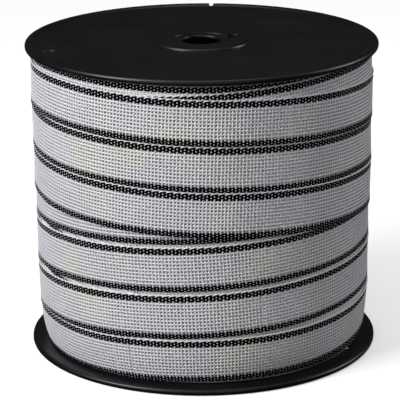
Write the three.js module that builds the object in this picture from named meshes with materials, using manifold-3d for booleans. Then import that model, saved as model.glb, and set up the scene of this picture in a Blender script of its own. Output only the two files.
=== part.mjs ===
// Reel of woven fence tape: a black moulded spool (two flanges on a tube barrel) wound full of
// flat woven tape. It stands on its lower flange. Units are millimetres, +Z runs up the
// spool's axis, and the origin is at the centre of the lower flange's resting plane.
import * as THREE from "three";
import { mergeVertices } from "three/addons/utils/BufferGeometryUtils.js";
import Module from "manifold-3d";

const wasm = await Module();
wasm.setup();

// Driving dimensions of the spool
const overallHeight = 146;
const flangeRadius = 82.5;
const webThickness = 1.8;
const rimRise = 1.0;
const rimCrownWidth = 1.4;
const rimFlankWidth = 2.2;
const rimEdgeRound = 1.2;
const fitClearance = 0.3;
const edgeChamfer = 0.2;

// Driving dimensions of the hub, from the spindle bore outwards
const boreRadius = 9.2;
const hubPlateThickness = 1.4;
const recessWidth = 4.8;
const recessDepth = 0.4;
const driveHoleRadius = 2.4;
const driveHoleInset = 6.6;
const spotFaceMargin = 1.4;
const spigotLand = 0.3;
const spigotWall = 1.7;
const spigotLength = 9;
const spigotLead = 0.6;
const barrelWall = 2.5;
const bossInset = 0.7;
const bossEdgeRound = 1.0;

// Driving dimensions of the tying hole and the tie-off notch
const tieHoleRadius = 2.8;
const tieHoleInset = 10;
const notchWidth = 2.2;
const notchDepth = 4.1;

// Directions of the features on the upper flange, seen from above, from +X towards +Y
const driveHoleAngle = 24.6;
const tieHoleAngle = 195.6;
const notchAngle = 86.5;

// Driving dimensions of the wound tape
const tapeWidth = 20;
const windingDropTop = 2.6;
const windingDropBottom = 4.3;
const turnCrown = 0.25;
const seamDepth = 0.55;
const seamHalfWidth = 0.9;

// Fineness of the round forms
const roundSegments = 64;
const holeSegments = 20;
const arcSegments = 3;

// Sizes that follow from the driving dimensions
const flangeThickness = webThickness + rimRise;
const recessRadius = boreRadius + recessWidth;
const driveCircleRadius = boreRadius + driveHoleInset;
const spotFaceRadius = driveHoleRadius + spotFaceMargin;
const spigotInnerRadius = driveCircleRadius + driveHoleRadius + spigotLand;
const spigotRadius = spigotInnerRadius + spigotWall;
const barrelInnerRadius = spigotRadius + fitClearance;
const barrelRadius = barrelInnerRadius + barrelWall;
const bossRadius = barrelRadius - bossInset;
const hubFloor = recessDepth + hubPlateThickness;
const woundBottom = flangeThickness + fitClearance;
const woundTop = overallHeight - woundBottom;
const cutMargin = 5;

const blackPlastic = new THREE.MeshStandardMaterial({
  color: 0x1b1c1f,
  roughness: 0.42,
  metalness: 0,
});
const wovenTape = new THREE.MeshStandardMaterial({
  color: 0xd6d6d8,
  roughness: 0.85,
  metalness: 0,
});

const radians = THREE.MathUtils.degToRad;

// Points of a circular arc in the (radius, height) plane, both ends included
function arc(centreRadius, centreHeight, radius, fromDegrees, toDegrees) {
  const points = [];
  for (let step = 0; step <= arcSegments; step += 1) {
    const angle = radians(fromDegrees + ((toDegrees - fromDegrees) * step) / arcSegments);
    points.push([
      centreRadius + radius * Math.cos(angle),
      centreHeight + radius * Math.sin(angle),
    ]);
  }
  return points;
}

// Points of a soft S-shaped flank between two heights
function softFlank(fromRadius, fromHeight, toRadius, toHeight) {
  const points = [];
  for (let step = 0; step <= arcSegments; step += 1) {
    const share = step / arcSegments;
    const eased = (1 - Math.cos(Math.PI * share)) / 2;
    points.push([
      fromRadius + (toRadius - fromRadius) * share,
      fromHeight + (toHeight - fromHeight) * eased,
    ]);
  }
  return points;
}

// A closed outline in (radius, height), counter-clockwise, turned about the Z axis
function turned(outline) {
  const points = outline.map(([radius, height]) => new THREE.Vector2(radius, height));
  points.push(points[0].clone());
  const geometry = new THREE.LatheGeometry(points, roundSegments);
  geometry.rotateX(Math.PI / 2);
  return geometry;
}

function solidFrom(geometry) {
  const bare = geometry.clone();
  bare.deleteAttribute("normal");
  bare.deleteAttribute("uv");
  const merged = mergeVertices(bare, 1e-4);
  return new wasm.Manifold(
    new wasm.Mesh({
      numProp: 3,
      vertProperties: new Float32Array(merged.attributes.position.array),
      triVerts: new Uint32Array(merged.index.array),
    }),
  );
}

function geometryFrom(solid) {
  const mesh = solid.getMesh();
  const geometry = new THREE.BufferGeometry();
  geometry.setAttribute("position", new THREE.BufferAttribute(mesh.vertProperties, 3));
  geometry.setIndex(new THREE.BufferAttribute(mesh.triVerts, 1));
  geometry.computeVertexNormals();
  return geometry;
}

// A round cutter along Z, from below the outer face up to a height
function roundCutter(radius, centreRadius, angle, top) {
  const length = top + cutMargin;
  const geometry = new THREE.CylinderGeometry(radius, radius, length, holeSegments);
  geometry.rotateX(Math.PI / 2);
  geometry.translate(centreRadius, 0, top - length / 2);
  geometry.rotateZ(angle);
  return geometry;
}

// A round-ended slot open to the rim
function notchCutter(angle) {
  const endCentre = flangeRadius - notchDepth + notchWidth / 2;
  const outline = new THREE.Shape();
  outline.moveTo(flangeRadius + cutMargin, -notchWidth / 2);
  outline.lineTo(flangeRadius + cutMargin, notchWidth / 2);
  outline.lineTo(endCentre, notchWidth / 2);
  outline.absarc(endCentre, 0, notchWidth / 2, Math.PI / 2, (3 * Math.PI) / 2, false);
  const geometry = new THREE.ExtrudeGeometry(outline, {
    depth: flangeThickness + 2 * cutMargin,
    bevelEnabled: false,
    curveSegments: holeSegments / 2,
  });
  geometry.translate(0, 0, -cutMargin);
  geometry.rotateZ(angle);
  return geometry;
}

// One flange lying on its outer face, its spigot pointing up. Its outer face has a raised round
// hub boss with a shallow recess round the spindle bore, and a raised bead round the rim.
function flangeOutline() {
  const crownOuter = flangeRadius - rimEdgeRound;
  const crownInner = crownOuter - rimCrownWidth;
  const spigotTop = flangeThickness + spigotLength;
  return [
    [boreRadius, recessDepth + edgeChamfer],
    [boreRadius + edgeChamfer, recessDepth],
    [recessRadius, recessDepth],
    [recessRadius, 0],
    ...arc(bossRadius - bossEdgeRound, bossEdgeRound, bossEdgeRound, -90, 0),
    [bossRadius, rimRise],
    ...softFlank(crownInner - rimFlankWidth, rimRise, crownInner, 0),
    ...arc(crownOuter, rimEdgeRound, rimEdgeRound, -90, 0),
    ...arc(crownOuter, flangeThickness - rimEdgeRound, rimEdgeRound, 0, 90),
    [spigotRadius, flangeThickness],
    [spigotRadius, spigotTop - spigotLead],
    [spigotRadius - spigotLead, spigotTop],
    [spigotInnerRadius, spigotTop],
    [spigotInnerRadius, hubFloor],
    [boreRadius + edgeChamfer, hubFloor],
    [boreRadius, hubFloor - edgeChamfer],
  ];
}

// The angles are measured in the flange's own frame, with its outer face down. The recess has a
// spot face round the drive hole.
function flangeGeometry() {
  const through = flangeThickness + cutMargin;
  const driveAngle = radians(-driveHoleAngle);
  const tieAngle = radians(-tieHoleAngle);
  const tieCircleRadius = flangeRadius - tieHoleInset;
  const cutters = [
    roundCutter(spotFaceRadius, driveCircleRadius, driveAngle, recessDepth),
    roundCutter(driveHoleRadius, driveCircleRadius, driveAngle, through),
    roundCutter(tieHoleRadius, tieCircleRadius, tieAngle, through),
    notchCutter(radians(-notchAngle)),
  ];
  let flange = solidFrom(turned(flangeOutline()));
  for (const cutter of cutters) {
    flange = flange.subtract(solidFrom(cutter));
  }
  return geometryFrom(flange);
}

function barrelGeometry() {
  return turned([
    [barrelInnerRadius, woundBottom],
    [barrelRadius, woundBottom],
    [barrelRadius, woundTop],
    [barrelInnerRadius, woundTop],
  ]);
}

// The wound tape as one turned solid with its bore. Its outer face tapers a little towards the
// lower flange and shows one crowned band for each turn of the outer layer.
function windingGeometry() {
  const innerRadius = barrelRadius + fitClearance;
  const bottomRadius = flangeRadius - windingDropBottom;
  const topRadius = flangeRadius - windingDropTop;
  const turnCount = Math.max(1, Math.round((woundTop - woundBottom) / tapeWidth));
  const turnHeight = (woundTop - woundBottom) / turnCount;
  const faceRadius = (height) =>
    bottomRadius + ((topRadius - bottomRadius) * (height - woundBottom)) / (woundTop - woundBottom);
  const outline = [
    [innerRadius, woundBottom],
    [faceRadius(woundBottom) - seamDepth, woundBottom],
  ];
  for (let turn = 0; turn < turnCount; turn += 1) {
    const low = woundBottom + turn * turnHeight;
    const high = low + turnHeight;
    const middle = (low + high) / 2;
    outline.push([faceRadius(low + seamHalfWidth), low + seamHalfWidth]);
    outline.push([faceRadius(middle) + turnCrown, middle]);
    outline.push([faceRadius(high - seamHalfWidth), high - seamHalfWidth]);
    outline.push([faceRadius(high) - seamDepth, high]);
  }
  outline.push([innerRadius, woundTop]);
  return turned(outline);
}

function piece(name, geometry, material) {
  const mesh = new THREE.Mesh(geometry, material);
  mesh.name = name;
  return mesh;
}

const reel = new THREE.Group();

// Both flanges come from one mould. The lower one is turned so that its notch lies under the
// upper one's, and the upper one is turned over onto the top.
const lowerFlange = piece("flange_bottom", flangeGeometry(), blackPlastic);
lowerFlange.rotation.z = radians(2 * notchAngle);
reel.add(lowerFlange);

const upperFlange = piece("flange_top", flangeGeometry(), blackPlastic);
upperFlange.rotation.x = Math.PI;
upperFlange.position.z = overallHeight;
reel.add(upperFlange);

reel.add(piece("barrel", barrelGeometry(), blackPlastic));
reel.add(piece("tape_winding", windingGeometry(), wovenTape));

export default reel;
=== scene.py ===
"""A reel of woven fence tape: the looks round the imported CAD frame.

The spool's flanges are finer copies of the CAD ones. The tape's outer turns are real weave: every
warp and weft is a closed thread that passes over and under its neighbours. Lengths are in metres.
"""

import math

import bpy
import numpy as np
from mathutils import Matrix, Vector


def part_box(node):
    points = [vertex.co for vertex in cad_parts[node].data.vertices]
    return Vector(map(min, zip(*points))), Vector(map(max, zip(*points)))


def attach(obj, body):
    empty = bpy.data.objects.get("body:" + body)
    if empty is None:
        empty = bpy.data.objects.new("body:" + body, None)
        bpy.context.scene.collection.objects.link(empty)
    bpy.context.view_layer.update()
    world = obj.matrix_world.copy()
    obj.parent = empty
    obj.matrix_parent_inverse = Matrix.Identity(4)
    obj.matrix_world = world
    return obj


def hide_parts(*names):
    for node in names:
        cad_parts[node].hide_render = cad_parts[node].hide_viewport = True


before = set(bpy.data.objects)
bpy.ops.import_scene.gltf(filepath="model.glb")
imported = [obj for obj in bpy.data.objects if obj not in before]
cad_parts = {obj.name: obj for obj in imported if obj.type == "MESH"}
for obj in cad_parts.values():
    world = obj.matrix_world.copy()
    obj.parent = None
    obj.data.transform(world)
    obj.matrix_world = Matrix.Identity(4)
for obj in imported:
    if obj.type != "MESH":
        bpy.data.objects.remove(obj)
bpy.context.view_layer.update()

MM = 0.001
BODY = "root"
flange_low, flange_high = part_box("flange_top")
barrel_low, barrel_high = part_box("barrel")
FLANGE_RADIUS = (flange_high.x - flange_low.x) / 2
BARREL_RADIUS = (barrel_high.x - barrel_low.x) / 2
SPOOL_TOP = flange_high.z
WOUND_LOW = barrel_low.z
WOUND_HIGH = barrel_high.z


# Small helpers


def smooth_through(knots, at):
    """A smooth curve through (x, y) knots, read at the given places."""
    x, y = np.array(knots, float).T
    slope = np.gradient(y, x)
    at = np.clip(np.asarray(at, float), x[0], x[-1])
    k = np.clip(np.searchsorted(x, at, side="right") - 1, 0, len(x) - 2)
    step = x[k + 1] - x[k]
    t = (at - x[k]) / step
    return (
        (2 * t**3 - 3 * t**2 + 1) * y[k]
        + (t**3 - 2 * t**2 + t) * step * slope[k]
        + (3 * t**2 - 2 * t**3) * y[k + 1]
        + (t**3 - t**2) * step * slope[k + 1]
    )


def mesh_object(name, points, faces, smooth=True, materials=(), face_material=None):
    """A mesh object from its points and its faces, which have four corners each."""
    mesh = bpy.data.meshes.new(name)
    quads = np.asarray(faces, np.int32)
    mesh.vertices.add(len(points))
    mesh.vertices.foreach_set("co", np.asarray(points, np.float32).ravel())
    mesh.loops.add(quads.size)
    mesh.loops.foreach_set("vertex_index", quads.ravel())
    mesh.polygons.add(len(quads))
    mesh.polygons.foreach_set("loop_start", np.arange(0, quads.size, quads.shape[1], dtype=np.int32))
    mesh.polygons.foreach_set("use_smooth", np.full(len(quads), smooth))
    for material in materials:
        mesh.materials.append(material)
    if face_material is not None:
        mesh.polygons.foreach_set("material_index", np.asarray(face_material, np.int32))
    mesh.update(calc_edges=True)
    mesh.validate()
    made = bpy.data.objects.new(name, mesh)
    bpy.context.scene.collection.objects.link(made)
    return made


class Nodes:
    """A short way to build a material's node tree."""

    def __init__(self, name):
        self.material = bpy.data.materials.new(name)
        self.material.use_nodes = True
        self.tree = self.material.node_tree
        self.shader = self.tree.nodes["Principled BSDF"]

    def add(self, kind, inputs=None, **settings):
        node = self.tree.nodes.new("ShaderNode" + kind)
        for key, value in settings.items():
            setattr(node, key, value)
        for key, value in (inputs or {}).items():
            if isinstance(value, bpy.types.NodeSocket):
                self.tree.links.new(value, node.inputs[key])
            else:
                node.inputs[key].default_value = value
        return node

    def math(self, operation, first, second=0.0):
        return self.add("Math", {0: first, 1: second}, operation=operation).outputs[0]

    def ramp(self, factor, low, high, colour_low, colour_high):
        ramp = self.add("ValToRGB", {"Fac": factor})
        ramp.color_ramp.elements[0].position = low
        ramp.color_ramp.elements[1].position = high
        ramp.color_ramp.elements[0].color = (*colour_low, 1)
        ramp.color_ramp.elements[1].color = (*colour_high, 1)
        return ramp.outputs["Color"]

    def drive(self, socket, value):
        self.tree.links.new(value, self.shader.inputs[socket])

    def bump(self, height, strength, distance):
        node = self.add("Bump", {"Height": height, "Strength": strength, "Distance": distance})
        self.drive("Normal", node.outputs["Normal"])


# Materials. The steps of the weave are here because the layer below shows them as well: between
# wefts in degrees round the spool, and between the white warps.

WEFT_STEP = 1.176
MIDDLE_PITCH = 1.60 * MM


def plastic_material():
    nodes = Nodes("spool_black_plastic")
    place = nodes.add("TexCoord").outputs["Object"]
    cloud = nodes.add("TexNoise", {"Vector": place, "Scale": 45.0, "Detail": 4.0}).outputs["Fac"]
    grain = nodes.add("TexNoise", {"Vector": place, "Scale": 2600.0, "Detail": 2.0}).outputs["Fac"]
    colour = nodes.ramp(cloud, 0.3, 0.75, (0.0028, 0.0031, 0.0042), (0.0046, 0.0050, 0.0061))
    nodes.drive("Base Color", colour)
    gloss = nodes.ramp(cloud, 0.25, 0.8, (0.30, 0.30, 0.30), (0.42, 0.42, 0.42))
    nodes.drive("Roughness", gloss)
    nodes.shader.inputs["IOR"].default_value = 1.48
    nodes.bump(grain, strength=0.12, distance=0.06 * MM)
    return nodes.material


def yarn_material(name, usual, patch, roughness, specular):
    """Yarn with a few faint patches of another tone and a fine fibre bump."""
    nodes = Nodes(name)
    place = nodes.add("TexCoord").outputs["Object"]
    cloud = nodes.add("TexNoise", {"Vector": place, "Scale": 34.0, "Detail": 2.0}).outputs["Fac"]
    fibre = nodes.add("TexNoise", {"Vector": place, "Scale": 5200.0, "Detail": 2.0}).outputs["Fac"]
    nodes.drive("Base Color", nodes.ramp(cloud, 0.50, 0.68, usual, patch))
    nodes.shader.inputs["Roughness"].default_value = roughness
    nodes.shader.inputs["Specular IOR Level"].default_value = specular
    nodes.bump(fibre, strength=0.35, distance=0.08 * MM)
    return nodes.material


def under_weave_material():
    """The weave of the layer below, seen through the holes of the outer one and between turns."""
    nodes = Nodes("under_layer_weave")
    place = nodes.add("TexCoord").outputs["Object"]
    parts = nodes.add("SeparateXYZ", {"Vector": place}).outputs
    turned = nodes.math("ARCTAN2", parts["X"], parts["Y"])
    wefts_a_turn = round(360 / WEFT_STEP)
    warps_crossed_a_turn = 13
    around = nodes.math("COSINE", nodes.math("MULTIPLY", turned, float(wefts_a_turn)))
    up = nodes.math("MULTIPLY", parts["Z"], 2 * math.pi / MIDDLE_PITCH)
    lean = nodes.math("MULTIPLY", turned, float(warps_crossed_a_turn))
    across = nodes.math("COSINE", nodes.math("ADD", up, lean))
    half_around = nodes.add("MapRange", {"Value": around, "From Min": -1.0}).outputs[0]
    half_across = nodes.add("MapRange", {"Value": across, "From Min": -1.0}).outputs[0]
    hole = nodes.math("MULTIPLY", half_around, half_across)
    # The holes are painted darker than the threads. This is painted shade for the shadowed layers
    # that would lie behind them.
    nodes.drive("Base Color", nodes.ramp(hole, 0.30, 0.55, (0.78, 0.78, 0.80), (0.45, 0.45, 0.46)))
    nodes.shader.inputs["Roughness"].default_value = 0.8
    nodes.shader.inputs["Specular IOR Level"].default_value = 0.1
    depth = nodes.math("SUBTRACT", 1.0, hole)
    nodes.bump(depth, strength=0.8, distance=0.3 * MM)
    return nodes.material


PLASTIC = plastic_material()
WHITE_YARN = yarn_material(
    "white_yarn", (0.755, 0.745, 0.797), (0.79, 0.785, 0.75), roughness=0.6, specular=0.25
)
BLACK_YARN = yarn_material(
    "black_yarn", (0.003, 0.003, 0.004), (0.004, 0.004, 0.005), roughness=0.9, specular=0.02
)
# The edge yarn is the same white yarn made lighter. Its extra lightness is a painted highlight for
# the light that the raised edge cord and strokes catch.
PAINTED_HIGHLIGHT_YARN = yarn_material(
    "edge_yarn_painted_highlight", (0.89, 0.885, 0.90), (0.89, 0.89, 0.86), roughness=0.5, specular=0.35
)
UNDER_WEAVE = under_weave_material()


# Camera, lights and floor. Names that end in _R are shares of the flange's radius, and such
# heights are measured from the spool's top, so that those below it are negative. The camera's
# angles are in radians.

CAMERA_DISTANCE_R = 11.8163
CAMERA_RISE_R = 2.6535
CAMERA_PITCH = 0.2963
CAMERA_YAW = -0.0013
CAMERA_ROLL = -0.0070
FOCAL_PIXELS = 2134.28
FRAME_PIXELS = 400
SENSOR_MM = 36.0

# Name, azimuth and elevation in degrees, distance, width, height and power of each soft light
LIGHTS = [
    ("key", -58, 32, 1.1, 0.6, 0.8, 12.7),
    ("front_fill", 0, 25, 1.6, 2.0, 1.6, 4.5),
    ("right_strip", 104, 22, 1.2, 0.4, 0.8, 4.9),
    ("overhead", 0, 88, 1.5, 1.2, 1.2, 6),
    ("back_fill", 185, 20, 1.6, 1.8, 1.2, 7),
]
LIGHTS_WITHOUT_GLOSS = ["back_fill"]
WORLD_STRENGTH = 0.025
FLOOR_HALF = 6.0
FLOOR_GLOW = 0.35


def make_camera():
    forward = Vector(
        (
            math.sin(CAMERA_YAW) * math.cos(CAMERA_PITCH),
            math.cos(CAMERA_YAW) * math.cos(CAMERA_PITCH),
            -math.sin(CAMERA_PITCH),
        )
    )
    right = Vector((math.cos(CAMERA_YAW), -math.sin(CAMERA_YAW), 0))
    up = right.cross(forward)
    rolled_right = math.cos(CAMERA_ROLL) * right + math.sin(CAMERA_ROLL) * up
    rolled_up = -math.sin(CAMERA_ROLL) * right + math.cos(CAMERA_ROLL) * up
    lens = bpy.data.cameras.new("camera")
    lens.sensor_width = SENSOR_MM
    lens.lens = SENSOR_MM * FOCAL_PIXELS / FRAME_PIXELS
    lens.clip_start = 0.05
    lens.clip_end = 20
    camera = bpy.data.objects.new("camera", lens)
    bpy.context.scene.collection.objects.link(camera)
    turn = Matrix((rolled_right, rolled_up, -forward)).transposed().to_4x4()
    place = Vector(
        (0, -CAMERA_DISTANCE_R * FLANGE_RADIUS, SPOOL_TOP + CAMERA_RISE_R * FLANGE_RADIUS)
    )
    camera.matrix_world = Matrix.Translation(place) @ turn
    bpy.context.scene.camera = camera


def soft_box(name, azimuth, elevation, distance, width, height, power):
    """An area light on the spool's middle. Azimuth 0 is the camera's side and 90 its right."""
    a, e = math.radians(azimuth), math.radians(elevation)
    way = Vector((math.sin(a) * math.cos(e), -math.cos(a) * math.cos(e), math.sin(e)))
    light = bpy.data.lights.new(name, "AREA")
    light.shape = "RECTANGLE"
    light.size = width
    light.size_y = height
    light.energy = power
    lamp = bpy.data.objects.new(name, light)
    bpy.context.scene.collection.objects.link(lamp)
    lamp.rotation_mode = "QUATERNION"
    lamp.location = Vector((0, 0, SPOOL_TOP / 2)) + way * distance
    lamp.rotation_quaternion = (-way).to_track_quat("-Z", "Y")
    lamp.visible_glossy = name not in LIGHTS_WITHOUT_GLOSS


def make_floor():
    """A pale floor that throws no light onto the spool."""
    half = FLOOR_HALF
    corners = [(-half, -half, 0), (half, -half, 0), (half, half, 0), (-half, half, 0)]
    floor = mesh_object("floor", corners, [(0, 1, 2, 3)], smooth=False)
    nodes = Nodes("pale_floor")
    nodes.shader.inputs["Base Color"].default_value = (0.92, 0.92, 0.92, 1)
    nodes.shader.inputs["Roughness"].default_value = 0.9
    nodes.shader.inputs["Specular IOR Level"].default_value = 0.1
    nodes.shader.inputs["Emission Color"].default_value = (1, 1, 1, 1)
    nodes.shader.inputs["Emission Strength"].default_value = FLOOR_GLOW
    floor.data.materials.append(nodes.material)
    floor.visible_diffuse = False
    floor.visible_glossy = False


def make_stage():
    world = bpy.data.worlds.new("studio")
    bpy.context.scene.world = world
    world.use_nodes = True
    background = world.node_tree.nodes["Background"]
    background.inputs["Color"].default_value = (1, 1, 1, 1)
    background.inputs["Strength"].default_value = WORLD_STRENGTH
    for light in LIGHTS:
        soft_box(*light)
    make_floor()
    bpy.context.scene.view_settings.view_transform = "Standard"


# Spool. The sizes, and what follows from them, repeat the CAD source's, in metres. The roundings
# of its small edges and the drive hole's draft are only here. Directions are in degrees.

FIT_CLEARANCE = 0.3 * MM
FLANGE_THICKNESS = WOUND_LOW - FIT_CLEARANCE
RIM_RISE = 1.0 * MM
RIM_ROUND = 1.2 * MM
RIM_CROWN = 1.4 * MM
RIM_FLANK = 2.2 * MM

BORE_RADIUS = 9.2 * MM
BORE_EDGE_ROUND = 0.5 * MM
HUB_PLATE = 1.4 * MM
RECESS_WIDTH = 4.8 * MM
RECESS_DEPTH = 0.4 * MM
RECESS_ROUND = 0.1 * MM
BOSS_INSET = 0.7 * MM
BOSS_ROUND = 1.0 * MM
EDGE_ROUND = 0.2 * MM

DRIVE_HOLE_RADIUS = 2.4 * MM
DRIVE_HOLE_INSET = 6.6 * MM
DRIVE_HOLE_ROUND = 0.06 * MM
DRIVE_HOLE_DRAFT = 0.9 * MM
DRIVE_ANGLE = 24.6
SPOT_FACE_MARGIN = 1.4 * MM
SPIGOT_LAND = 0.3 * MM
SPIGOT_WALL = 1.7 * MM
SPIGOT_LENGTH = 9.0 * MM

TIE_HOLE_RADIUS = 2.8 * MM
TIE_HOLE_INSET = 10.0 * MM
TIE_HOLE_ROUND = 0.45 * MM
TIE_ANGLE = 195.6
NOTCH_WIDTH = 2.2 * MM
NOTCH_DEPTH = 4.1 * MM
NOTCH_ANGLE = 86.5

HUB_FLOOR = RECESS_DEPTH + HUB_PLATE
RECESS_RADIUS = BORE_RADIUS + RECESS_WIDTH
BOSS_RADIUS = BARREL_RADIUS - BOSS_INSET
DRIVE_CIRCLE = BORE_RADIUS + DRIVE_HOLE_INSET
SPOT_FACE_RADIUS = DRIVE_HOLE_RADIUS + SPOT_FACE_MARGIN
SPIGOT_INNER = DRIVE_CIRCLE + DRIVE_HOLE_RADIUS + SPIGOT_LAND
SPIGOT_OUTER = SPIGOT_INNER + SPIGOT_WALL
SPIGOT_TOP = FLANGE_THICKNESS + SPIGOT_LENGTH
TIE_CIRCLE = FLANGE_RADIUS - TIE_HOLE_INSET

# Fineness of the round forms, and how far the cutters reach past what they cut
FLANGE_STEPS = 240
HOLE_STEPS = 48
NOTCH_END_STEPS = 12
SHARP_ANGLE = 35
CUT_MARGIN = 3 * MM
NOTCH_MARGIN = 5 * MM
MOUTH_MARGIN = 0.02 * MM


def arc(centre_r, centre_z, radius, start, end, steps=6):
    """Points of an arc in the (radius, height) plane, with both ends, at angles in degrees."""
    angles = np.radians(np.linspace(start, end, steps + 1))
    return [(centre_r + radius * math.cos(a), centre_z + radius * math.sin(a)) for a in angles]


def soft_flank(from_r, from_z, to_r, to_z, steps=8):
    """Points of an S-shaped flank between two heights, with both ends."""
    shares = np.linspace(0, 1, steps + 1)
    return [
        (from_r + (to_r - from_r) * s, from_z + (to_z - from_z) * (1 - math.cos(math.pi * s)) / 2)
        for s in shares
    ]


def turned_mesh(name, outline, steps, materials=()):
    """A closed (radius, height) outline, counter-clockwise, turned about Z."""
    rim = np.array(outline, float)
    angles = np.arange(steps) * 2 * math.pi / steps
    points = np.stack(
        [
            np.outer(np.cos(angles), rim[:, 0]),
            np.outer(np.sin(angles), rim[:, 0]),
            np.tile(rim[:, 1], (steps, 1)),
        ],
        -1,
    ).reshape(-1, 3)
    count = len(rim)
    ring, place = np.meshgrid(np.arange(steps), np.arange(count), indexing="ij")
    after_ring, after_place = (ring + 1) % steps, (place + 1) % count
    faces = np.stack(
        [
            ring * count + place,
            after_ring * count + place,
            after_ring * count + after_place,
            ring * count + after_place,
        ],
        -1,
    ).reshape(-1, 4)
    return mesh_object(name, points, faces, materials=materials)


def flange_outline():
    """Outline of a flange that lies on its outer face, from its bore's outer edge round."""
    crown_outer = FLANGE_RADIUS - RIM_ROUND
    crown_inner = crown_outer - RIM_CROWN
    bore_mouth = BORE_RADIUS + BORE_EDGE_ROUND
    return [
        *arc(bore_mouth, RECESS_DEPTH + BORE_EDGE_ROUND, BORE_EDGE_ROUND, 180, 270),
        (RECESS_RADIUS, RECESS_DEPTH),
        *arc(RECESS_RADIUS + RECESS_ROUND, RECESS_ROUND, RECESS_ROUND, 180, 270, 4),
        *arc(BOSS_RADIUS - BOSS_ROUND, BOSS_ROUND, BOSS_ROUND, -90, 0),
        (BOSS_RADIUS + EDGE_ROUND, RIM_RISE),
        *soft_flank(crown_inner - RIM_FLANK, RIM_RISE, crown_inner, 0),
        *arc(crown_outer, RIM_ROUND, RIM_ROUND, -90, 0),
        *arc(crown_outer, FLANGE_THICKNESS - RIM_ROUND, RIM_ROUND, 0, 90),
        (SPIGOT_OUTER, FLANGE_THICKNESS),
        (SPIGOT_OUTER, SPIGOT_TOP),
        (SPIGOT_INNER, SPIGOT_TOP),
        (SPIGOT_INNER, HUB_FLOOR),
        *arc(BORE_RADIUS + EDGE_ROUND, HUB_FLOOR - EDGE_ROUND, EDGE_ROUND, 90, 180, 4),
    ]


def hole_profile(radius, face, rounding, draft):
    """A through hole with a rounded outer edge at the face's height, wider by draft at its end."""
    mouth = radius + rounding + MOUTH_MARGIN
    edge = arc(radius + rounding, face + rounding, rounding, -90, -180)
    return [
        (mouth, face - CUT_MARGIN),
        (mouth, face),
        *edge[1:],
        (radius + draft, FLANGE_THICKNESS + CUT_MARGIN),
    ]


def cutter_object(points, faces):
    mesh = bpy.data.meshes.new("cutter")
    mesh.from_pydata(points, [], faces)
    cutter = bpy.data.objects.new("cutter", mesh)
    bpy.context.scene.collection.objects.link(cutter)
    return cutter


def round_cutter(profile, circle, angle):
    """A cutter turned from a (radius, height) line, closed at both ends, at a circle's angle."""
    turns = np.arange(HOLE_STEPS) * 2 * math.pi / HOLE_STEPS
    points = [(r * math.cos(t), r * math.sin(t), z) for t in turns for r, z in profile]
    count = len(profile)
    starts = [k * count for k in range(HOLE_STEPS)]
    sides = [
        (here + p, after + p, after + p + 1, here + p + 1)
        for here, after in zip(starts, starts[1:] + starts[:1])
        for p in range(count - 1)
    ]
    bottom = tuple(reversed(starts))
    top = tuple(start + count - 1 for start in starts)
    cutter = cutter_object(points, [*sides, bottom, top])
    a = math.radians(angle)
    cutter.location = (circle * math.cos(a), circle * math.sin(a), 0)
    return cutter


def notch_cutter(angle):
    """A slot with a round end, open at the rim."""
    half = NOTCH_WIDTH / 2
    mouth = FLANGE_RADIUS + NOTCH_MARGIN
    end = FLANGE_RADIUS - NOTCH_DEPTH + half
    turns = np.radians(np.linspace(90, 270, NOTCH_END_STEPS + 1))
    outline = [(mouth, -half), (mouth, half)]
    outline += [(end + half * math.cos(t), half * math.sin(t)) for t in turns]
    low = [(x, y, -CUT_MARGIN) for x, y in outline]
    high = [(x, y, FLANGE_THICKNESS + CUT_MARGIN) for x, y in outline]
    count = len(outline)
    sides = [(k, (k + 1) % count, (k + 1) % count + count, k + count) for k in range(count)]
    bottom = tuple(reversed(range(count)))
    top = tuple(range(count, 2 * count))
    cutter = cutter_object(low + high, [*sides, bottom, top])
    cutter.rotation_euler = (0, 0, math.radians(angle))
    return cutter


def cut_out(piece, cutters):
    """Takes the cutters out of the piece and leaves it as a plain mesh."""
    for cutter in cutters:
        cut = piece.modifiers.new("cut", "BOOLEAN")
        cut.operation = "DIFFERENCE"
        cut.solver = "EXACT"
        cut.object = cutter
    bpy.context.view_layer.update()
    graph = bpy.context.evaluated_depsgraph_get()
    mesh = bpy.data.meshes.new_from_object(piece.evaluated_get(graph))
    piece.modifiers.clear()
    piece.data = mesh
    for cutter in cutters:
        bpy.data.objects.remove(cutter)


def make_flange(name, node, place):
    """A fine flange in its own frame, outer face down, then put where its CAD node is."""
    flange = turned_mesh(name, flange_outline(), FLANGE_STEPS, [PLASTIC])
    spot_face = [(SPOT_FACE_RADIUS, -CUT_MARGIN), (SPOT_FACE_RADIUS, RECESS_DEPTH)]
    drive_hole = hole_profile(DRIVE_HOLE_RADIUS, RECESS_DEPTH, DRIVE_HOLE_ROUND, DRIVE_HOLE_DRAFT)
    tie_hole = hole_profile(TIE_HOLE_RADIUS, RIM_RISE, TIE_HOLE_ROUND, 0)
    cutters = [
        round_cutter(spot_face, DRIVE_CIRCLE, -DRIVE_ANGLE),
        round_cutter(drive_hole, DRIVE_CIRCLE, -DRIVE_ANGLE),
        round_cutter(tie_hole, TIE_CIRCLE, -TIE_ANGLE),
        notch_cutter(-NOTCH_ANGLE),
    ]
    cut_out(flange, cutters)
    flange.data.transform(place)
    flange.data.set_sharp_from_angle(angle=math.radians(SHARP_ANGLE))
    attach(flange, BODY)
    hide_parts(node)


def make_spool():
    """Both flanges, the lower one turned so that its notch lies under the upper one's."""
    turned_round = Matrix.Rotation(math.radians(2 * NOTCH_ANGLE), 4, "Z")
    turned_over = Matrix.Translation((0, 0, SPOOL_TOP)) @ Matrix.Rotation(math.pi, 4, "X")
    make_flange("lower_flange", "flange_bottom", turned_round)
    make_flange("upper_flange", "flange_top", turned_over)
    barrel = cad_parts["barrel"]
    barrel.data.materials.clear()
    barrel.data.materials.append(PLASTIC)


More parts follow.
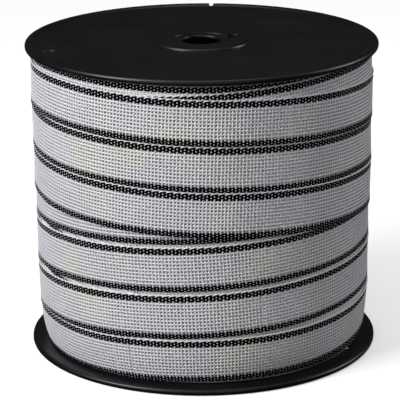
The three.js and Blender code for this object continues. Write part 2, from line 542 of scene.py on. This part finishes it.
# Tape. A strip is about 20 mm wide. Its path is a list of (turned angle, middle height, layer):
# the angle in degrees from the camera's side, growing to the right and on round the spool, the
# height in flange radii from the spool's top, and how many tape thicknesses it lies above the
# outer full layer.

TAPE_THICKNESS = 0.6 * MM

MAIN_STRIP = [
    (-440, -1.598, -1.0),
    (-200, -1.600, -1.0),
    (-100, -1.618, -0.6),
    (-60, -1.620, -0.3),
    (0, -1.593, 0.0),
    (60, -1.567, 0.0),
    (180, -1.465, 0.0),
    (300, -1.378, 0.0),
    (360, -1.3255, 0.0),
    (420, -1.280, 0.0),
    (540, -1.190, 0.0),
    (660, -1.107, 0.0),
    (720, -1.0545, 0.0),
    (780, -1.008, 0.0),
    (900, -0.925, 0.0),
    (1020, -0.834, 0.0),
    (1080, -0.787, 0.0),
    (1140, -0.745, 0.0),
    (1200, -0.700, 0.0),
]
TOP_STRIP = [
    (1755, -0.242, 1.0),
    (1800, -0.212, 1.0),
    (1830, -0.183, 1.0),
    (1860, -0.157, 1.0),
    (1900, -0.157, 1.0),
    (1980, -0.165, 1.2),
    (2040, -0.195, 1.6),
    (2075, -0.212, 1.9),
    (2100, -0.211, 2.0),
    (2160, -0.2434, 2.0),
    (2220, -0.280, 2.0),
    (2340, -0.380, 1.7),
    (2460, -0.4612, 1.3),
    (2520, -0.4976, 1.2),
    (2580, -0.5342, 1.1),
    (2700, -0.625, 1.0),
    (2820, -0.7154, 1.0),
    (2880, -0.7497, 1.0),
    (2940, -0.7894, 1.0),
    (3050, -0.873, 1.0),
]
OLD_TOP_TURN = [
    (-200, -0.157, 0.0),
    (-150, -0.158, 0.0),
    (-110, -0.166, 0.0),
    (-80, -0.170, 0.0),
    (-60, -0.153, 0.0),
    (-40, -0.156, 0.0),
    (-20, -0.167, 0.0),
    (30, -0.167, 0.0),
    (75, -0.165, 0.0),
]
DEEP_TURN_UPPER = [(-105, -0.765, -1.0), (-58, -0.866, -1.0), (-15, -0.955, -1.0)]
DEEP_TURN_LOWER = [(-105, -1.050, -1.0), (-57, -1.137, -1.0), (-15, -1.215, -1.0)]

# Name, path, and the angles at which each stretch of tape begins and ends
STRETCHES = [
    ("main", MAIN_STRIP, -430, 1190),
    ("top", TOP_STRIP, 1760, 3045),
    ("old_top", OLD_TOP_TURN, -190, 70),
    ("deep_upper", DEEP_TURN_UPPER, -98, -22),
    ("deep_lower", DEEP_TURN_LOWER, -98, -22),
]
LONGEST_PIECE = 480

# Outer radius of the full winding at a height, both as shares of the flange radius
WINDING_PROFILE = [
    (-1.74, 0.905),
    (-1.70, 0.921),
    (-1.64, 0.936),
    (-1.50, 0.950),
    (-1.20, 0.955),
    (-0.90, 0.957),
    (-0.50, 0.9555),
    (-0.03, 0.9545),
]
LOWEST_R = (WOUND_LOW - SPOOL_TOP) / FLANGE_RADIUS + 0.004
HIGHEST_R = (WOUND_HIGH - SPOOL_TOP) / FLANGE_RADIUS - 0.0005

# The layer below lies this many tape thicknesses inside the full winding, in its lower and its
# upper part
UNDER_SPLIT_R = -0.84
UNDER_DEPTH_BELOW = 1.25
UNDER_DEPTH_ABOVE = 0.3
UNDER_HEIGHTS = 60
UNDER_STEPS = 180

# A strip wanders up and down by waves of (size in flange radii, waves a turn, start in degrees),
# and its face ripples by waves of (size in flange radii, waves a turn, slant, start in radians)
WANDER_WAVES = [(0.0012, 1.7, 40), (0.0008, 4.3, 110)]
RIPPLE_WAVES = [(0.0011, 5, 9, 0.0), (0.0008, 11, -14, 1.0)]

# Half the stretch that a strip's lean is read over, in degrees, and the radii at which the lean
# and the wefts' widths are turned into angles
LEAN_STEP = 0.5
LEAN_RADIUS_R = 0.955
WEFT_RADIUS_R = 0.957

EDGE_WARPS = 4
MIDDLE_WARPS = 9
UPPER_EDGE_PITCH = 0.67 * MM
LOWER_EDGE_PITCH = 0.55 * MM
OUTER_WARP = 9.75 * MM
MIDDLE_SHIFT = -0.12 * MM
WARP_JITTER = 0.03 * MM
WEFT_JITTER_SHARE = 0.03


def yarn_sizes(half_width, half_thick, rise):
    """A thread's half width, half thickness, and rise over or fall under what it crosses."""
    return np.array([half_width, half_thick, rise]) * MM


WHITE_WARP = yarn_sizes(0.58, 0.10, 0.012)
BLACK_WARP_OVER = yarn_sizes(0.44, 0.14, 0.11)
BLACK_WARP_UNDER = yarn_sizes(0.30, 0.10, 0.11)
WEFT_MIDDLE = yarn_sizes(0.57, 0.10, 0.012)
WEFT_EDGE = yarn_sizes(0.27, 0.11, 0.14)
EDGE_CORD = yarn_sizes(0.26, 0.20, 0.05)
EDGE_CORD_OUT = 0.72 * MM
EDGE_CORD_LIFT = 0.10 * MM
EDGE_CORD_SWAY = 0.05 * MM

# Rings of the stroke that ties a weft to the edge cord, past the outermost warp: how far out, its
# shift along the tape as a share of the weft step, its turn in degrees, and its share of the rise
STROKE_RINGS = [
    (0.34 * MM, 0.20, 25, 1.2),
    (0.62 * MM, 0.75, 70, 1.9),
    (0.82 * MM, 1.75, 80, 1.7),
]
STROKE_HALF_WIDTH = 0.26 * MM
STROKE_HALF_THICK = 0.20 * MM
TUCK_OUT = 0.30 * MM

# Material numbers of a strip, and the four corners of a thread's cross-section as shares of its
# half width and half thickness
YARNS = [WHITE_YARN, BLACK_YARN, PAINTED_HIGHLIGHT_YARN]
WHITE, BLACK, PAINTED_HIGHLIGHT_EDGE = range(len(YARNS))
CORNERS = [(1, 0), (0, 1), (-1, 0), (0, -1)]


def warp_places():
    """Places of the warps across the tape, from its lower edge up, and which are black."""
    middle = (np.arange(MIDDLE_WARPS) - (MIDDLE_WARPS - 1) / 2) * MIDDLE_PITCH + MIDDLE_SHIFT
    inwards = np.arange(EDGE_WARPS)
    upper = OUTER_WARP - inwards[::-1] * UPPER_EDGE_PITCH
    lower = -OUTER_WARP + inwards * LOWER_EDGE_PITCH
    places = np.concatenate([lower, middle, upper])
    black = np.concatenate([inwards >= 0, np.zeros(MIDDLE_WARPS, bool), inwards >= 0])
    return places, black


def strip_middle(path, angles):
    """Height of a strip's middle in flange radii, and its layer, at each turned angle."""
    knots = np.array(path)
    height = smooth_through(knots[:, [0, 1]], angles)
    layer = smooth_through(knots[:, [0, 2]], angles)
    wander = sum(
        size * np.sin(np.radians(angles * waves + start)) for size, waves, start in WANDER_WAVES
    )
    return height + wander, layer


def on_winding(path, angles, across, lift):
    """Points on a strip at turned angles, at distances across from its middle and out from it."""
    height, layer = strip_middle(path, angles)
    ahead, _ = strip_middle(path, angles + LEAN_STEP)
    behind, _ = strip_middle(path, angles - LEAN_STEP)
    climb = (ahead - behind) / (math.radians(2 * LEAN_STEP) * LEAN_RADIUS_R)
    lean = np.arctan(climb)
    across_R = across / FLANGE_RADIUS
    z = height + across_R * np.cos(lean)
    turned = np.radians(angles) - across_R * np.sin(lean) / LEAN_RADIUS_R
    over_low = np.minimum(z - LOWEST_R, 0)
    over_high = np.minimum(HIGHEST_R - z, 0)
    z = np.clip(z, LOWEST_R, HIGHEST_R)
    ripple = sum(
        size * np.sin(waves * turned + slant * z + start)
        for size, waves, slant, start in RIPPLE_WAVES
    )
    radius = smooth_through(WINDING_PROFILE, z) + over_low + over_high + ripple
    radius = radius * FLANGE_RADIUS + layer * TAPE_THICKNESS + lift
    return np.stack(
        [
            radius * np.sin(turned),
            -radius * np.cos(turned),
            SPOOL_TOP + z * FLANGE_RADIUS,
        ],
        -1,
    )


def tube_faces(rows, rings):
    """Quads of many four-sided closed tubes laid out as [row, ring, corner], with end caps."""
    row, ring, corner = np.meshgrid(
        np.arange(rows), np.arange(rings - 1), np.arange(4), indexing="ij"
    )
    base = (row * rings + ring) * 4
    after = (corner + 1) % 4
    sides = np.stack([base + corner, base + after, base + 4 + after, base + 4 + corner], -1)
    starts = np.arange(rows)[:, None] * rings * 4
    near = starts + np.array([[3, 2, 1, 0]])
    far = starts + (rings - 1) * 4 + np.array([[0, 1, 2, 3]])
    return np.concatenate([sides.reshape(-1, 4), near, far])


def warps(path, stations, over, rng):
    """Points, faces and material numbers of the warps and of the cord along the upper edge.

    Each has one ring at each crossing, high where it passes over the weft.
    """
    places, black = warp_places()
    count = len(stations)
    jitter = rng.normal(0, WARP_JITTER, over.shape)
    jitter = (jitter + np.roll(jitter, 1, 1) + np.roll(jitter, 2, 1)) / 2
    black_sizes = np.where(over[..., None], BLACK_WARP_OVER, BLACK_WARP_UNDER)
    sizes = np.where(black[:, None, None], black_sizes, WHITE_WARP)
    half_width, half_thick, rise = np.moveaxis(sizes, -1, 0)
    rise = rise * np.where(over, 1, -1)

    cord = np.ones((1, count))
    cord_over = np.where(over[-1], -1, 1)
    cord_width, cord_thick, cord_rise = EDGE_CORD
    cord_across = (places[-1] + EDGE_CORD_OUT) * cord + EDGE_CORD_SWAY * cord_over
    angles = np.broadcast_to(stations, (len(places) + 1, count))
    across = np.vstack([places[:, None] + jitter, cord_across])
    half_width = np.vstack([half_width, cord_width * cord])
    half_thick = np.vstack([half_thick, cord_thick * cord])
    rise = np.vstack([rise, EDGE_CORD_LIFT * cord + cord_rise * cord_over])

    points = np.stack(
        [
            on_winding(path, angles, across + side * half_width, rise + high * half_thick)
            for side, high in CORNERS
        ],
        2,
    )
    # The edge cord gets the lighter edge yarn, which is a painted highlight.
    row_yarn = np.append(np.where(black, BLACK, WHITE), PAINTED_HIGHLIGHT_EDGE)
    yarn = np.concatenate([np.repeat(row_yarn, (count - 1) * 4), row_yarn, row_yarn])
    return points.reshape(-1, 3), tube_faces(len(row_yarn), count), yarn


def wefts(path, stations, over, rng):
    """Points, faces and material numbers of the wefts.

    Each has one ring at each crossing, high where it passes over the warp. It is tucked in below
    the lower edge's outermost warp and tied to the upper edge's cord by a slanting stroke.
    """
    places, black = warp_places()
    count = len(stations)
    shape = (count, len(places))
    station = stations[:, None]
    column = np.ones((count, 1))
    jitter = rng.normal(0, WEFT_JITTER_SHARE, (count, 1)) * WEFT_STEP
    sizes = np.broadcast_to(np.where(black[:, None], WEFT_EDGE, WEFT_MIDDLE), (*shape, 3))
    crossing_width, crossing_thick, crossing_rise = np.moveaxis(sizes, -1, 0)
    edge_width, edge_thick, edge_rise = WEFT_EDGE
    first_over = np.where(over[:1].T, -1, 1)

    angle = [station, np.broadcast_to(station + jitter, shape)]
    across = [(places[0] - TUCK_OUT) * column, np.broadcast_to(places, shape)]
    half_width = [edge_width * column, crossing_width]
    half_thick = [edge_thick * column, crossing_thick]
    lift = [-edge_rise * column, crossing_rise * np.where(over.T, -1, 1)]
    twist = [0 * column, np.zeros(shape)]
    for out, share, turn, rise_share in STROKE_RINGS:
        angle.append(station + first_over * share * WEFT_STEP)
        across.append((places[-1] + out) * column)
        half_width.append(STROKE_HALF_WIDTH * column)
        half_thick.append(STROKE_HALF_THICK * column)
        lift.append(first_over * edge_rise * rise_share)
        twist.append(first_over * math.radians(turn))
    rings = (np.hstack(parts) for parts in (angle, across, half_width, half_thick, lift, twist))
    angle, across, half_width, half_thick, lift, twist = rings

    along = half_width * np.cos(twist) * math.degrees(1 / (WEFT_RADIUS_R * FLANGE_RADIUS))
    aside = half_width * np.sin(twist)
    points = np.stack(
        [
            on_winding(path, angle - side * along, across + side * aside, lift + high * half_thick)
            for side, high in CORNERS
        ],
        2,
    )
    ring_count = angle.shape[1]
    side_yarn = np.full((count, ring_count - 1, 4), WHITE)
    # The edge strokes get the lighter edge yarn, which is a painted highlight.
    side_yarn[:, -len(STROKE_RINGS):] = PAINTED_HIGHLIGHT_EDGE
    cap_yarn = np.repeat([WHITE, PAINTED_HIGHLIGHT_EDGE], count)
    yarn = np.append(side_yarn.ravel(), cap_yarn)
    return points.reshape(-1, 3), tube_faces(count, ring_count), yarn


def woven_strip(name, path, start, end, seed):
    """One stretch of tape as woven threads: rows of warps along it and wefts across it."""
    rng = np.random.default_rng(seed)
    count = int(round((end - start) / WEFT_STEP))
    stations = start + np.arange(count) * WEFT_STEP
    first = int(round(start / WEFT_STEP))
    warp_rows = np.arange(2 * EDGE_WARPS + MIDDLE_WARPS)
    over = (np.arange(count)[None, :] + first + warp_rows[:, None]) % 2 == 0
    warp_points, warp_faces, warp_yarn = warps(path, stations, over, rng)
    weft_points, weft_faces, weft_yarn = wefts(path, stations, over, rng)
    points = np.concatenate([warp_points, weft_points])
    faces = np.concatenate([warp_faces, weft_faces + len(warp_points)])
    yarn = np.concatenate([warp_yarn, weft_yarn])
    strip = mesh_object(name, points, faces, materials=YARNS, face_material=yarn)
    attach(strip, BODY)
    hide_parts("tape_winding")


def make_tape():
    """Each stretch in pieces of nearly one length, which begin and end on a weft."""
    seed = 1
    for label, path, start, end in STRETCHES:
        pieces = math.ceil((end - start) / LONGEST_PIECE)
        for k in range(pieces):
            low = start + (end - start) * k / pieces
            high = start + (end - start) * (k + 1) / pieces
            low = round(low / WEFT_STEP) * WEFT_STEP
            high = round(high / WEFT_STEP) * WEFT_STEP
            woven_strip(f"tape_{label}_{k + 1}", path, low, high + WEFT_STEP, seed)
            seed += 1


def make_under_layer():
    """The layer under the outer turns, as one turned body with its bore."""
    heights = np.linspace(LOWEST_R, HIGHEST_R, UNDER_HEIGHTS)
    depth = np.where(heights < UNDER_SPLIT_R, UNDER_DEPTH_BELOW, UNDER_DEPTH_ABOVE)
    outer = smooth_through(WINDING_PROFILE, heights) * FLANGE_RADIUS - depth * TAPE_THICKNESS
    z = SPOOL_TOP + heights * FLANGE_RADIUS
    inner = BARREL_RADIUS + FIT_CLEARANCE
    outline = [(inner, z[0]), *zip(outer, z), (inner, z[-1])]
    body = turned_mesh("tape_under_layer", outline, UNDER_STEPS, [UNDER_WEAVE])
    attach(body, BODY)
    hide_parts("tape_winding")


make_camera()
make_stage()
make_spool()
make_under_layer()
make_tape()
